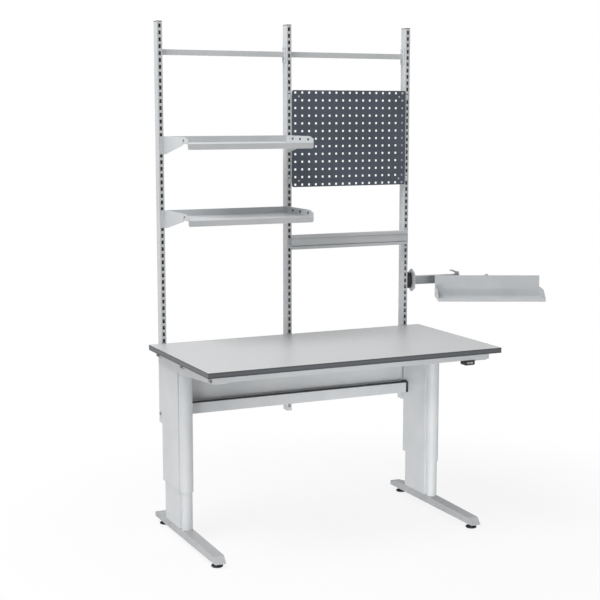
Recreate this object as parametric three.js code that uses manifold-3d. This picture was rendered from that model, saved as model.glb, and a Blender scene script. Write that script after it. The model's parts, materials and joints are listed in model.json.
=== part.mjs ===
// Height-adjustable laboratory workbench with slotted uprights, two reagent shelves,
// a perforated tool panel, a bin rail and a swinging side tray.
// Millimetres, +X to the right, +Y to the back, +Z up.
import * as THREE from 'three';
import { mergeGeometries, mergeVertices } from 'three/addons/utils/BufferGeometryUtils.js';
import Module from 'manifold-3d';

// Clearances and sheet gauges
const FIT = 0.3;
const RUNNING_GAP = 0.6;
const SHEET = 2;
const TUBE_WALL = 3;

// Worktop
const WORKTOP_WIDTH = 1500;
const WORKTOP_DEPTH = 790;
const WORKTOP_THICKNESS = 25;
const WORKTOP_HEIGHT = 910;
const EDGE_BAND = 2;

// Rails under the worktop and the arms that carry them
const RAIL_DEPTH = 48;
const RAIL_HEIGHT = 33;
const RAIL_END_INSET = 37;
const FRONT_RAIL_SETBACK = 50;
const MID_RAIL_SETBACK = 416;
const REAR_RAIL_INSET = 1;
const ARM_WIDTH = 64;
const ARM_ROOT_HEIGHT = 36.1;
const ARM_TIP_HEIGHT = 5;
const ARM_TIP_INSET = 4;

// Telescopic columns with a half-round nose towards the front
const LEG_INSET = 79;
const COLUMN_WIDTH = 64;
const COLUMN_REAR = -45;
const COLUMN_FLAT = 245;
const COLUMN_BOTTOM = 245;
const COLUMN_GROOVE_WIDTH = 20;
const COLUMN_GROOVE_DEPTH = 6;
const INNER_COLUMN_SIDE_GAP = 2;
const INNER_COLUMN_REAR_GAP = 14;
const INNER_COLUMN_TOP = 640;
const NOSE_STEPS = 14;

// Hydraulic lift inside the columns
const CYLINDER_RADIUS = 18;
const CYLINDER_BOTTOM = 300;
const CYLINDER_END_WALL = 12;
const CYLINDER_FORWARD = 120;
const LIFT_ROD_RADIUS = 10;
const LIFT_ROD_TOP = 600;
const ROUND_SIDES = 16;

// Feet
const FOOT_WIDTH = 54;
const FOOT_REAR = 90;
const FOOT_FRONT = -720;
const FOOT_CLEARANCE = 22;
const FOOT_REAR_HEIGHT = 23;
const FOOT_MID_HEIGHT = 38;
const FOOT_TIP_HEIGHT = 32;
const FOOT_NOSE = 30;
const FOOT_FLAT_MARGIN = 14;
const FOOT_PLUG_DEPTH = 14;
const FOOT_PLUG_HEAD = 3;
const PAD_RADIUS = 27;
const PAD_HEIGHT = 9;
const PAD_NECK_RADIUS = 10;
const PAD_NECK_HEIGHT = 13;
const STEM_RADIUS = 5;
const STEM_LENGTH = 34;
const COLLAR_RADIUS = 9;
const PAD_EDGE = 2;
const PAD_FRONT = -675;
const PAD_REAR = 23;

// Cable trough and rear panel
const TROUGH_FRONT = -95;
const TROUGH_DEPTH = 46;
const TROUGH_BOTTOM = 570;
const TROUGH_HEIGHT = 57;
const TROUGH_CAP = 12;
const TRIM_WIDTH = 6;
const TRIM_HEIGHT = 9;

// Hand control under the front rail
const CONTROL_ARM_GAP = 6;
const CONTROL_WIDTH = 56;
const CONTROL_DEPTH = 42;
const CONTROL_HEIGHT = 24;
const CONTROL_CORNER = 7;
const CONTROL_OVERHANG = 2;
const BUTTON_WIDTH = 13;
const BUTTON_HEIGHT = 9;
const BUTTON_PITCH = 18;
const BUTTON_PROUD = 2.5;
const BUTTON_DEPTH = 8;
const BUTTON_POCKET = 12;

// Pump unit under the worktop
const PUMP_WIDTH = 250;
const PUMP_DEPTH = 120;
const PUMP_HEIGHT = 40;
const PUMP_RAIL_GAP = 26;
const INLET_WIDTH = 28;
const INLET_HEIGHT = 22;
const INLET_DEPTH = 12;

// Uprights
const UPRIGHT_WIDTH = 25;
const UPRIGHT_DEPTH = 50;
const UPRIGHT_FRONT = 3;
const UPRIGHT_BOTTOM = 512;
const UPRIGHT_TOP = 2446;
const UPRIGHT_WALL = 2;
const CAP_HEIGHT = 4;
const CAP_PLUG = 12;
const SLOT_PITCH = 32;
const SLOT_WIDTH = 12;
const SLOT_HEIGHT = 19;
const TOP_SLOT_DROP = 19;
const BOTTOM_SLOT_MARGIN = 16;

// Brackets that hold the uprights
const CLAMP_HEIGHT = 30;
const CLAMP_REACH = 32;
const CLAMP_PLATE = 2.5;
const PANEL_CLAMP_LEVEL = 600;
const COLUMN_CLAMP_LEVEL = 560;

// Top beams
const BEAM_SIZE = 26;
const BEAM_DROP = 140;
const BEAM_PLATE_HEIGHT = 80;
const BEAM_PLATE_DEPTH = 38;
const BEAM_PLATE = 3;

// Shelves
const SHELF_END_GAP = 17.5;
const SHELF_DEPTH = 311;
const SHELF_RIM = 30;
const SHELF_LIP = 27;
const SHELF_LIP_CORNER = 9;
const SHELF_BACK_GAP = 5;
const SHELF_SLOT_INDEX = { upper: 17, lower: 28 };
const SHELF_BELOW_SLOT = 3;
const RIM_FRONT_DROP = 12;
const RIM_FRONT_CHAMFER = 40;
const RIM_HOLE_LENGTH = 14;
const RIM_HOLE_HEIGHT = 8;
const RIM_HOLES = [78, 162, 254];
const BRACKET_PLATE = 2.5;
const BRACKET_BELOW = 55;
const BRACKET_LENGTH = 255;
const BRACKET_NOSE = 14;
const HOOK_WIDTH = 5;
const HOOK_HEIGHT = 12;
const HOOK_DROP = 7;
const HOOK_THICKNESS = 4;
const HOOK_FLANGE = 2;
const HOOK_FLANGE_HALF = 6;

// Perforated panel
const PANEL_HEIGHT = 480;
const PANEL_SHEET = 1.5;
const PANEL_TOP_SLOT_INDEX = 10;
const PANEL_BOTTOM_SLOT_INDEX = 23;
const PANEL_ABOVE_SLOT = 25;
const PANEL_CORNER = 10;
const HOLE_PITCH = 38;
const HOLE_SIZE = 10;
const HOLE_MARGIN = 12;
const PANEL_TAB_HEIGHT = 20;
const PANEL_TAB_REACH = 28;
const PANEL_STRIP = 12;

// Bin rail
const BIN_RAIL_HEIGHT = 73;
const BIN_RAIL_DEPTH = 24;
const BIN_RAIL_END_GAP = 3;
const BIN_RAIL_UPPER_LIP = 16;
const BIN_RAIL_LOWER_LIP = 15;
const BIN_RAIL_RECESS = 6;
const BIN_RAIL_GROOVE = 4;
const BIN_RAIL_EDGE = 3;
const BIN_RAIL_WALL = 4;
const BIN_RAIL_SLOT_INDEX = 33;
const BIN_RAIL_BELOW_SLOT = 31;
const BIN_HOOK_HEIGHT = 50;
const BIN_HOOK_REACH = 30;

// Side tray on its jointed arm
const ARM_LEVEL = 1144;
const PIVOT_OUT = 23.5;
const INNER_ARM_REACH = 279;
const INNER_ARM_TURN = -5.8;
const INNER_ARM_WIDTH = 30;
const INNER_ARM_HEIGHT = 43;
const ARM_GROOVE_WIDTH = 5;
const ARM_GROOVE_DEPTH = 3;
const ARM_GROOVE_LEVEL = 9;
const OUTER_ARM_REACH = 171;
const OUTER_ARM_TURN = -56.2;
const OUTER_ARM_WIDTH = 25;
const OUTER_ARM_HEIGHT = 30;
const KNUCKLE_HEIGHT = 81;
const KNUCKLE_EAR = 16;
const KNUCKLE_RADIUS = 12;
const PIN_RADIUS = 5;
const PIN_HEAD_RADIUS = 8;
const PIN_HEAD_HEIGHT = 3;
const PLATE_THICKNESS = 4;
const PLATE_HEIGHT = 120;
const PLATE_WIDTH = 92;
const PLATE_SHOULDER = 74;
const ELBOW_POST_RADIUS = 7;
const ELBOW_POST_PROUD = 9;
const LEVER_HUB_RADIUS = 13;
const LEVER_HUB_HEIGHT = 25;
const LEVER_REACH = 40;
const LEVER_WIDTH = 12;
const LEVER_THICKNESS = 9;
const LEVER_RISE = 11;
const LEVER_TURN = 172;
const TRAY_TURN = -25.6;
const TRAY_LENGTH = 550;
const TRAY_DEPTH = 210;
const TRAY_BACK_HEIGHT = 111;
const TRAY_LIP = 17;
const TRAY_END_HEIGHT = 54;
const TRAY_END_FLAT = 140;
const TRAY_OFFSET = 30;
const TRAY_DROP = 82;
const LUG_THICKNESS = 6;
const LUG_RADIUS = 14;
const LUG_FACE_WIDTH = 90;
const LUG_FACE_THICKNESS = 4;
const LUG_FACE_DROP = 40;
const TRAY_PIN_RADIUS = 6;
const KNOB_NECK_RADIUS = 6;
const KNOB_RADIUS = 10;
const KNOB_GRIP = 20;
const KNOB_RIM = 3;
const KNOB_TOP_ABOVE_TRAY = 3;

// Finishes
const LIGHT_GREY_PAINT = { color: 0xcdcfd0, roughness: 0.5, metalness: 0.1 };
const GREY_LAMINATE = { color: 0xcfd0d0, roughness: 0.45, metalness: 0 };
const DARK_EDGE_PLASTIC = { color: 0x55585b, roughness: 0.5, metalness: 0 };
const BLUE_GREY_PAINT = { color: 0x4a4d57, roughness: 0.55, metalness: 0.1 };
const BLACK_PLASTIC = { color: 0x1b1b1c, roughness: 0.6, metalness: 0 };
const BLACK_PAINT = { color: 0x232425, roughness: 0.45, metalness: 0.2 };
const PALE_PLASTIC = { color: 0xb9bbbd, roughness: 0.5, metalness: 0 };
const RAW_ALUMINIUM = { color: 0x9a9c9e, roughness: 0.4, metalness: 1 };
const ZINC_STEEL = { color: 0xb4b6b8, roughness: 0.35, metalness: 1 };

// Levels and places that follow from the driving dimensions
const underside = WORKTOP_HEIGHT - WORKTOP_THICKNESS;
const railTop = underside - FIT;
const railBottom = railTop - RAIL_HEIGHT;
const armTop = railBottom - FIT;
const columnTop = armTop - ARM_ROOT_HEIGHT - FIT;
const legSpan = WORKTOP_WIDTH - LEG_INSET * 2;
const columnNose = COLUMN_REAR - COLUMN_FLAT;
const columnFront = columnNose - COLUMN_WIDTH / 2;
const footTop = FOOT_CLEARANCE + FOOT_MID_HEIGHT;
const cylinderY = COLUMN_REAR - CYLINDER_FORWARD;
const troughRear = TROUGH_FRONT + TROUGH_DEPTH;
const troughTop = TROUGH_BOTTOM + TROUGH_HEIGHT;
const troughHalf = legSpan / 2 - COLUMN_WIDTH / 2 - TROUGH_CAP - FIT;
const panelBack = troughRear + FIT + SHEET;
const beamLevel = UPRIGHT_TOP - BEAM_DROP;
const upperSlot = UPRIGHT_TOP - TOP_SLOT_DROP;
const slotHeight = (index) => upperSlot - index * SLOT_PITCH;
const uprightPitch = legSpan / 2;
const bayClear = uprightPitch - UPRIGHT_WIDTH;
const shelfWidth = uprightPitch - SHELF_END_GAP * 2;
const UPRIGHT_PLACES = { left: -uprightPitch, middle: 0, right: uprightPitch };
const flangeBack = UPRIGHT_FRONT - FIT;
const flangeFront = flangeBack - HOOK_FLANGE;
const plateStandoff = KNUCKLE_RADIUS + RUNNING_GAP;
const outerArmTop = -INNER_ARM_HEIGHT / 2 - RUNNING_GAP;

const AXIS_X = new THREE.Vector3(1, 0, 0);
const AXIS_Y = new THREE.Vector3(0, 1, 0);
const AXIS_Z = new THREE.Vector3(0, 0, 1);
const BACKWARD = new THREE.Vector3(0, -1, 0);
const MERGE_DISTANCE = 1e-4;
const PAST = 1;

// Shape helpers
const wasm = await Module();
wasm.setup();

function toSolid(geometry) {
  const bare = geometry.clone();
  bare.deleteAttribute('normal');
  bare.deleteAttribute('uv');
  const merged = mergeVertices(bare, MERGE_DISTANCE);
  return new wasm.Manifold(new wasm.Mesh({
    numProp: 3,
    vertProperties: new Float32Array(merged.attributes.position.array),
    triVerts: new Uint32Array(merged.index.array),
  }));
}

function toGeometry(solid) {
  const mesh = solid.getMesh();
  const geometry = new THREE.BufferGeometry();
  geometry.setAttribute('position', new THREE.BufferAttribute(new Float32Array(mesh.vertProperties), 3));
  geometry.setIndex(new THREE.BufferAttribute(new Uint32Array(mesh.triVerts), 1));
  geometry.computeVertexNormals();
  return geometry;
}

function join(...shapes) {
  const [first, ...others] = shapes.map(toSolid);
  return toGeometry(others.reduce((sum, solid) => sum.add(solid), first));
}

function cut(body, ...tools) {
  const solid = tools.map(toSolid).reduce((rest, tool) => rest.subtract(tool), toSolid(body));
  return toGeometry(solid);
}

// Many separate cutters as one
function together(shapes) {
  const bare = shapes.map((shape) => {
    const copy = shape.index ? shape.toNonIndexed() : shape.clone();
    copy.deleteAttribute('normal');
    copy.deleteAttribute('uv');
    return copy;
  });
  return mergeVertices(mergeGeometries(bare), MERGE_DISTANCE);
}

function block(x0, x1, y0, y1, z0, z1) {
  const geometry = new THREE.BoxGeometry(x1 - x0, y1 - y0, z1 - z0);
  return geometry.translate((x0 + x1) / 2, (y0 + y1) / 2, (z0 + z1) / 2);
}

function outline(points) {
  return new THREE.Shape(points.map(([u, v]) => new THREE.Vector2(u, v)));
}

function roundedRectangle(u0, u1, v0, v1, radius) {
  const shape = new THREE.Shape();
  shape.absarc(u1 - radius, v1 - radius, radius, 0, Math.PI / 2);
  shape.absarc(u0 + radius, v1 - radius, radius, Math.PI / 2, Math.PI);
  shape.absarc(u0 + radius, v0 + radius, radius, Math.PI, Math.PI * 1.5);
  shape.absarc(u1 - radius, v0 + radius, radius, Math.PI * 1.5, Math.PI * 2);
  return shape;
}

function extrude(shape, length, steps) {
  return new THREE.ExtrudeGeometry(shape, { depth: length, bevelEnabled: false, curveSegments: steps });
}

function prismX(shape, x0, x1, steps = 4) {
  const turn = new THREE.Matrix4().makeBasis(AXIS_Y, AXIS_Z, AXIS_X);
  return extrude(shape, x1 - x0, steps).applyMatrix4(turn).translate(x0, 0, 0);
}

function prismY(shape, y0, y1, steps = 4) {
  const turn = new THREE.Matrix4().makeBasis(AXIS_X, AXIS_Z, BACKWARD);
  return extrude(shape, y1 - y0, steps).applyMatrix4(turn).translate(0, y1, 0);
}

function prismZ(shape, z0, z1, steps = 4) {
  return extrude(shape, z1 - z0, steps).translate(0, 0, z0);
}

function rod(radius, x, y, z0, z1, sides = ROUND_SIDES) {
  const geometry = new THREE.CylinderGeometry(radius, radius, z1 - z0, sides);
  return geometry.rotateX(Math.PI / 2).translate(x, y, (z0 + z1) / 2);
}

const bench = new THREE.Group();

function addPiece(name, geometry, finish, parent = bench) {
  const mesh = new THREE.Mesh(geometry, new THREE.MeshStandardMaterial(finish));
  mesh.name = name;
  parent.add(mesh);
}

function addGroup(parent, x, y, z, turn = 0) {
  const frame = new THREE.Group();
  frame.position.set(x, y, z);
  frame.rotation.z = THREE.MathUtils.degToRad(turn);
  parent.add(frame);
  return frame;
}

// Worktop: laminated board inside a plastic edge band
function addWorktop() {
  const half = WORKTOP_WIDTH / 2;
  const boardHalf = half - EDGE_BAND;
  const bandFront = EDGE_BAND - WORKTOP_DEPTH;
  const band = cut(
    block(-half, half, -WORKTOP_DEPTH, 0, underside, WORKTOP_HEIGHT),
    block(-boardHalf, boardHalf, bandFront, -EDGE_BAND, underside - PAST, WORKTOP_HEIGHT + PAST),
  );
  const inset = EDGE_BAND + FIT;
  const board = block(inset - half, half - inset, inset - WORKTOP_DEPTH, -inset, underside, WORKTOP_HEIGHT);
  addPiece('worktop_board', board, GREY_LAMINATE);
  addPiece('worktop_edge_band', band, DARK_EDGE_PLASTIC);
}

// Front face of each rail under the worktop
const RAIL_FRONTS = {
  front_rail: FRONT_RAIL_SETBACK - WORKTOP_DEPTH,
  middle_rail: MID_RAIL_SETBACK - WORKTOP_DEPTH,
  rear_rail: -REAR_RAIL_INSET - RAIL_DEPTH,
};

// Three square-cornered tubes that run under the worktop from end to end
function addRails() {
  const half = WORKTOP_WIDTH / 2 - RAIL_END_INSET;
  for (const [name, front] of Object.entries(RAIL_FRONTS)) {
    const back = front + RAIL_DEPTH;
    const tube = cut(
      block(-half, half, front, back, railBottom, railTop),
      block(-half - PAST, half + PAST, front + SHEET, back - SHEET, railBottom + SHEET, railTop - SHEET),
    );
    const level = (railTop + railBottom) / 2;
    const places = name === 'rear_rail' ? Object.values(UPRIGHT_PLACES) : [];
    const clamps = places.map((x) => uprightClamp(back - PAST, level).translate(x, 0, 0));
    addPiece(name, join(tube, ...clamps), LIGHT_GREY_PAINT);
  }
}

// Column section: flat sides, square rear, half-round nose and a groove before the nose
function columnSection(inset, rearGap) {
  const half = COLUMN_WIDTH / 2 - inset;
  const rear = COLUMN_REAR - inset - rearGap;
  const grooveHalf = half - COLUMN_GROOVE_DEPTH;
  const grooveFront = columnNose - inset;
  const grooveBack = columnNose + COLUMN_GROOVE_WIDTH + inset;
  const lean = Math.asin(inset / half);
  const shape = outline([
    [half, grooveBack],
    [half, rear],
    [-half, rear],
    [-half, grooveBack],
    [-grooveHalf, grooveBack],
    [-grooveHalf, grooveFront],
  ]);
  shape.absarc(0, columnNose, half, Math.PI + lean, Math.PI * 2 - lean);
  shape.lineTo(grooveHalf, grooveFront);
  shape.lineTo(grooveHalf, grooveBack);
  return shape;
}

function columnTube(inset, rearGap, bottom, top) {
  const shape = columnSection(inset, rearGap);
  shape.holes.push(columnSection(inset + TUBE_WALL, rearGap));
  return prismZ(shape, bottom, top, NOSE_STEPS);
}

function footProfile(inset, rear) {
  const low = FOOT_CLEARANCE + inset;
  const flatRear = COLUMN_REAR + FOOT_FLAT_MARGIN;
  const flatFront = columnFront - FOOT_FLAT_MARGIN;
  return outline([
    [rear, low],
    [rear, FOOT_CLEARANCE + FOOT_REAR_HEIGHT - inset],
    [flatRear, footTop - inset],
    [flatFront, footTop - inset],
    [FOOT_FRONT + FOOT_NOSE, FOOT_CLEARANCE + FOOT_TIP_HEIGHT - inset],
    [FOOT_FRONT + inset * 2, low],
  ]);
}

function footBeam() {
  const half = FOOT_WIDTH / 2;
  const shell = prismX(footProfile(0, FOOT_REAR), -half, half);
  const hollow = prismX(footProfile(TUBE_WALL, FOOT_REAR + PAST), TUBE_WALL - half, half - TUBE_WALL);
  const holeTop = FOOT_CLEARANCE + TUBE_WALL + PAST;
  const holes = [PAD_FRONT, PAD_REAR].map(
    (y) => rod(STEM_RADIUS + RUNNING_GAP, 0, y, FOOT_CLEARANCE - PAST, holeTop),
  );
  return cut(shell, hollow, ...holes);
}

function footPlug() {
  const half = FOOT_WIDTH / 2;
  const low = FOOT_CLEARANCE;
  const high = low + FOOT_REAR_HEIGHT;
  const gap = TUBE_WALL + FIT;
  const headBack = FOOT_REAR + FIT + FOOT_PLUG_HEAD;
  return join(
    block(-half, half, FOOT_REAR + FIT, headBack, low, high),
    block(gap - half, half - gap, FOOT_REAR - FOOT_PLUG_DEPTH, headBack, low + gap, high - gap),
  );
}

// Round pad on a threaded stem, with a hexagonal collar for the spanner
function levellingFoot() {
  const profile = [
    [0, 0],
    [PAD_RADIUS - PAD_EDGE, 0],
    [PAD_RADIUS, PAD_EDGE],
    [PAD_RADIUS, PAD_HEIGHT - PAD_EDGE],
    [PAD_RADIUS - PAD_EDGE * 2, PAD_HEIGHT],
    [PAD_NECK_RADIUS, PAD_NECK_HEIGHT],
    [STEM_RADIUS, PAD_NECK_HEIGHT],
    [STEM_RADIUS, STEM_LENGTH],
    [0, STEM_LENGTH],
  ];
  const points = profile.map(([r, z]) => new THREE.Vector2(r, z));
  return join(
    new THREE.LatheGeometry(points, ROUND_SIDES * 2).rotateX(Math.PI / 2),
    rod(COLLAR_RADIUS, 0, 0, PAD_NECK_HEIGHT - PAST, FOOT_CLEARANCE - RUNNING_GAP, 6),
  );
}

// Arm from the column to the front rail, folded as a channel that opens upwards, with a notch
// for each rail
function supportArm() {
  const rear = -REAR_RAIL_INSET - PAST;
  const tip = RAIL_FRONTS.front_rail + ARM_TIP_INSET;
  const low = columnTop + FIT;
  const high = railTop;
  const tipLow = armTop - ARM_TIP_HEIGHT;
  const half = ARM_WIDTH / 2;
  const shell = outline([
    [rear, high],
    [rear, low],
    [columnFront, low],
    [tip, tipLow],
    [tip, high],
  ]);
  const wall = TUBE_WALL;
  const hollow = outline([
    [rear - wall, high + PAST],
    [rear - wall, low + wall],
    [columnFront, low + wall],
    [tip + wall, tipLow + wall],
    [tip + wall, high + PAST],
  ]);
  const notches = Object.values(RAIL_FRONTS).map((front) => {
    const back = front + RAIL_DEPTH;
    return block(-half - PAST, half + PAST, front - FIT, back + FIT, armTop, high + PAST);
  });
  return cut(prismX(shell, -half, half), prismX(hollow, wall - half, half - wall), ...notches);
}

function liftCylinder() {
  return cut(
    rod(CYLINDER_RADIUS, 0, cylinderY, CYLINDER_BOTTOM, columnTop),
    rod(LIFT_ROD_RADIUS + RUNNING_GAP, 0, cylinderY, CYLINDER_BOTTOM - PAST, columnTop - CYLINDER_END_WALL),
  );
}

// One leg: foot, lower and upper column, lift and support arm
function addLeg(side, x) {
  const leg = addGroup(bench, x, 0, 0);
  const inset = TUBE_WALL + INNER_COLUMN_SIDE_GAP;
  const low = footTop + FIT;
  const lowerColumn = columnTube(inset, INNER_COLUMN_REAR_GAP, low, INNER_COLUMN_TOP);
  const clamp = uprightClamp(COLUMN_REAR - PAST, COLUMN_CLAMP_LEVEL);
  const upperColumn = join(columnTube(0, 0, COLUMN_BOTTOM, columnTop), clamp);
  addPiece(`${side}_foot`, footBeam(), LIGHT_GREY_PAINT, leg);
  addPiece(`${side}_lower_column`, lowerColumn, LIGHT_GREY_PAINT, leg);
  addPiece(`${side}_upper_column`, upperColumn, LIGHT_GREY_PAINT, leg);
  addPiece(`${side}_foot_end_plug`, footPlug(), BLACK_PLASTIC, leg);
  addPiece(`${side}_lift_cylinder`, liftCylinder(), BLACK_PAINT, leg);
  addPiece(`${side}_lift_rod`, rod(LIFT_ROD_RADIUS, 0, cylinderY, low, LIFT_ROD_TOP), ZINC_STEEL, leg);
  addPiece(`${side}_support_arm`, supportArm(), LIGHT_GREY_PAINT, leg);
  for (const [end, y] of [['front', PAD_FRONT], ['rear', PAD_REAR]]) {
    addPiece(`${end}_${side}_levelling_foot`, levellingFoot(), BLACK_PLASTIC, addGroup(leg, 0, y, 0));
  }
}

// Folded cable trough between the columns, its end caps, edge trim and the panel behind it
function addTrough() {
  const half = troughHalf;
  const outer = [TROUGH_FRONT, troughRear];
  const inner = [TROUGH_FRONT + SHEET, troughRear - SHEET];
  const trough = cut(
    block(-half, half, ...outer, TROUGH_BOTTOM, troughTop),
    block(-half - PAST, half + PAST, ...inner, TROUGH_BOTTOM + SHEET, troughTop + PAST),
  );
  addPiece('cable_trough', trough, LIGHT_GREY_PAINT);
  const overlap = (TRIM_WIDTH - SHEET) / 2;
  const trimDepth = [TROUGH_FRONT - overlap, TROUGH_FRONT + SHEET + overlap];
  const wallDepth = [TROUGH_FRONT - FIT, TROUGH_FRONT + SHEET + FIT];
  const trim = cut(
    block(-half, half, ...trimDepth, troughTop - TRIM_HEIGHT / 2, troughTop + TRIM_HEIGHT / 2),
    block(-half - PAST, half + PAST, ...wallDepth, troughTop - TRIM_HEIGHT, troughTop + FIT),
  );
  addPiece('trough_edge_trim', trim, BLACK_PLASTIC);
  const capInner = half + FIT;
  const capOuter = legSpan / 2 - COLUMN_WIDTH / 2 - FIT;
  const capSpans = { left: [-capOuter, -capInner], right: [capInner, capOuter] };
  for (const [side, span] of Object.entries(capSpans)) {
    const cap = block(...span, ...outer, TROUGH_BOTTOM, troughTop);
    addPiece(`${side}_trough_end_cap`, cap, BLACK_PLASTIC);
  }
  const panel = block(-half, half, troughRear + FIT, panelBack, TROUGH_BOTTOM, armTop);
  const clamp = uprightClamp(panelBack - PAST, PANEL_CLAMP_LEVEL);
  addPiece('rear_panel', join(panel, clamp), LIGHT_GREY_PAINT);
}

// Hand control with an up and a down button, hung under the front rail
function addHandControl() {
  const front = FRONT_RAIL_SETBACK - WORKTOP_DEPTH - CONTROL_OVERHANG;
  const top = railBottom - FIT;
  const half = CONTROL_WIDTH / 2;
  const middle = legSpan / 2 - ARM_WIDTH / 2 - CONTROL_ARM_GAP - half;
  const frame = addGroup(bench, middle, front, top - CONTROL_HEIGHT / 2);
  const halfHeight = CONTROL_HEIGHT / 2;
  const face = roundedRectangle(-half, half, -halfHeight, halfHeight, CONTROL_CORNER);
  const offsets = { up_button: BUTTON_PITCH / 2, down_button: -BUTTON_PITCH / 2 };
  const pockets = Object.values(offsets).map((x) => block(
    x - BUTTON_WIDTH / 2 - RUNNING_GAP,
    x + BUTTON_WIDTH / 2 + RUNNING_GAP,
    -PAST,
    BUTTON_POCKET,
    -BUTTON_HEIGHT / 2 - RUNNING_GAP,
    BUTTON_HEIGHT / 2 + RUNNING_GAP,
  ));
  addPiece('hand_control', cut(prismY(face, 0, CONTROL_DEPTH), ...pockets), BLACK_PLASTIC, frame);
  const buttonFace = roundedRectangle(
    -BUTTON_WIDTH / 2, BUTTON_WIDTH / 2, -BUTTON_HEIGHT / 2, BUTTON_HEIGHT / 2, BUTTON_HEIGHT / 4);
  for (const [name, x] of Object.entries(offsets)) {
    const button = prismY(buttonFace, -BUTTON_PROUD, BUTTON_DEPTH).translate(x, 0, 0);
    addPiece(name, button, PALE_PLASTIC, frame);
  }
}

// Pump unit with a mains inlet sunk into its left end
function addPumpUnit() {
  const half = PUMP_WIDTH / 2;
  const front = MID_RAIL_SETBACK - WORKTOP_DEPTH + RAIL_DEPTH + PUMP_RAIL_GAP;
  const back = front + PUMP_DEPTH;
  const low = railTop - PUMP_HEIGHT;
  const middle = (front + back) / 2;
  const level = (low + railTop) / 2;
  const inlet = block(
    -half - PAST,
    INLET_DEPTH - half,
    middle - INLET_WIDTH / 2,
    middle + INLET_WIDTH / 2,
    level - INLET_HEIGHT / 2,
    level + INLET_HEIGHT / 2,
  );
  addPiece('pump_unit', cut(block(-half, half, front, back, low, railTop), inlet), BLACK_PAINT);
}

// Upright tube with one row of slots in its front wall
function uprightTube() {
  const half = UPRIGHT_WIDTH / 2;
  const back = UPRIGHT_FRONT + UPRIGHT_DEPTH;
  const wall = UPRIGHT_WALL;
  const count = Math.floor((upperSlot - UPRIGHT_BOTTOM - BOTTOM_SLOT_MARGIN) / SLOT_PITCH) + 1;
  const slots = Array.from({ length: count }, (_, index) => block(
    -SLOT_WIDTH / 2,
    SLOT_WIDTH / 2,
    UPRIGHT_FRONT - PAST,
    UPRIGHT_FRONT + wall + PAST,
    slotHeight(index) - SLOT_HEIGHT / 2,
    slotHeight(index) + SLOT_HEIGHT / 2,
  ));
  const boreDepth = [UPRIGHT_FRONT + wall, back - wall];
  return cut(
    block(-half, half, UPRIGHT_FRONT, back, UPRIGHT_BOTTOM, UPRIGHT_TOP),
    block(wall - half, half - wall, ...boreDepth, UPRIGHT_BOTTOM - PAST, UPRIGHT_TOP + PAST),
    together(slots),
  );
}

function uprightCap() {
  const half = UPRIGHT_WIDTH / 2;
  const back = UPRIGHT_FRONT + UPRIGHT_DEPTH;
  const gap = UPRIGHT_WALL + FIT;
  const low = UPRIGHT_TOP + FIT;
  const top = UPRIGHT_TOP + CAP_HEIGHT;
  return join(
    block(-half, half, UPRIGHT_FRONT, back, low, top),
    block(gap - half, half - gap, UPRIGHT_FRONT + gap, back - gap, low - CAP_PLUG, top),
  );
}

// U-shaped clamp that holds an upright from its two sides
function uprightClamp(front, level) {
  const inner = UPRIGHT_WIDTH / 2 + FIT;
  const outer = inner + CLAMP_PLATE;
  const back = UPRIGHT_FRONT + CLAMP_REACH;
  const low = level - CLAMP_HEIGHT / 2;
  const high = level + CLAMP_HEIGHT / 2;
  return cut(
    block(-outer, outer, front, back, low, high),
    block(-inner, inner, front + CLAMP_PLATE, back + PAST, low - PAST, high + PAST),
  );
}

function addUprights() {
  for (const [side, x] of Object.entries(UPRIGHT_PLACES)) {
    const frame = addGroup(bench, x, 0, 0);
    addPiece(`${side}_upright`, uprightTube(), LIGHT_GREY_PAINT, frame);
    addPiece(`${side}_upright_cap`, uprightCap(), DARK_EDGE_PLASTIC, frame);
  }
  for (const [bay, x] of [['left', UPRIGHT_PLACES.left], ['right', UPRIGHT_PLACES.middle]]) {
    const start = x + UPRIGHT_WIDTH / 2 + FIT;
    addPiece(`${bay}_top_beam`, topBeam(start, start + bayClear - FIT * 2), LIGHT_GREY_PAINT);
  }
}

// Square tube with a plate welded to each end
function topBeam(start, end) {
  const back = UPRIGHT_FRONT + UPRIGHT_DEPTH - FIT;
  const front = back - BEAM_SIZE;
  const half = BEAM_SIZE / 2;
  const plateLow = beamLevel - BEAM_PLATE_HEIGHT / 2;
  const plateHigh = beamLevel + BEAM_PLATE_HEIGHT / 2;
  const plate = (x0, x1) => block(x0, x1, back - BEAM_PLATE_DEPTH, back, plateLow, plateHigh);
  const tube = join(
    block(start, end, front, back, beamLevel - half, beamLevel + half),
    plate(start, start + BEAM_PLATE),
    plate(end - BEAM_PLATE, end),
  );
  const bore = half - SHEET;
  return cut(tube, block(
    start - PAST, end + PAST, front + SHEET, back - SHEET, beamLevel - bore, beamLevel + bore));
}

// Flange that lies on an upright's front, with hooks through the slots at the given heights
function hookFlange(x0, x1, z0, z1, slotLevels) {
  const half = HOOK_WIDTH / 2;
  const insideWall = UPRIGHT_FRONT + UPRIGHT_WALL + FIT;
  const tip = insideWall + HOOK_THICKNESS;
  const hooks = slotLevels.flatMap((level) => [
    block(-half, half, flangeFront, tip, level - HOOK_HEIGHT / 2, level + HOOK_HEIGHT / 2),
    block(-half, half, insideWall, tip, level - HOOK_HEIGHT / 2 - HOOK_DROP, level + HOOK_HEIGHT / 2),
  ]);
  return join(block(x0, x1, flangeFront, flangeBack, z0, z1), ...hooks);
}

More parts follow.
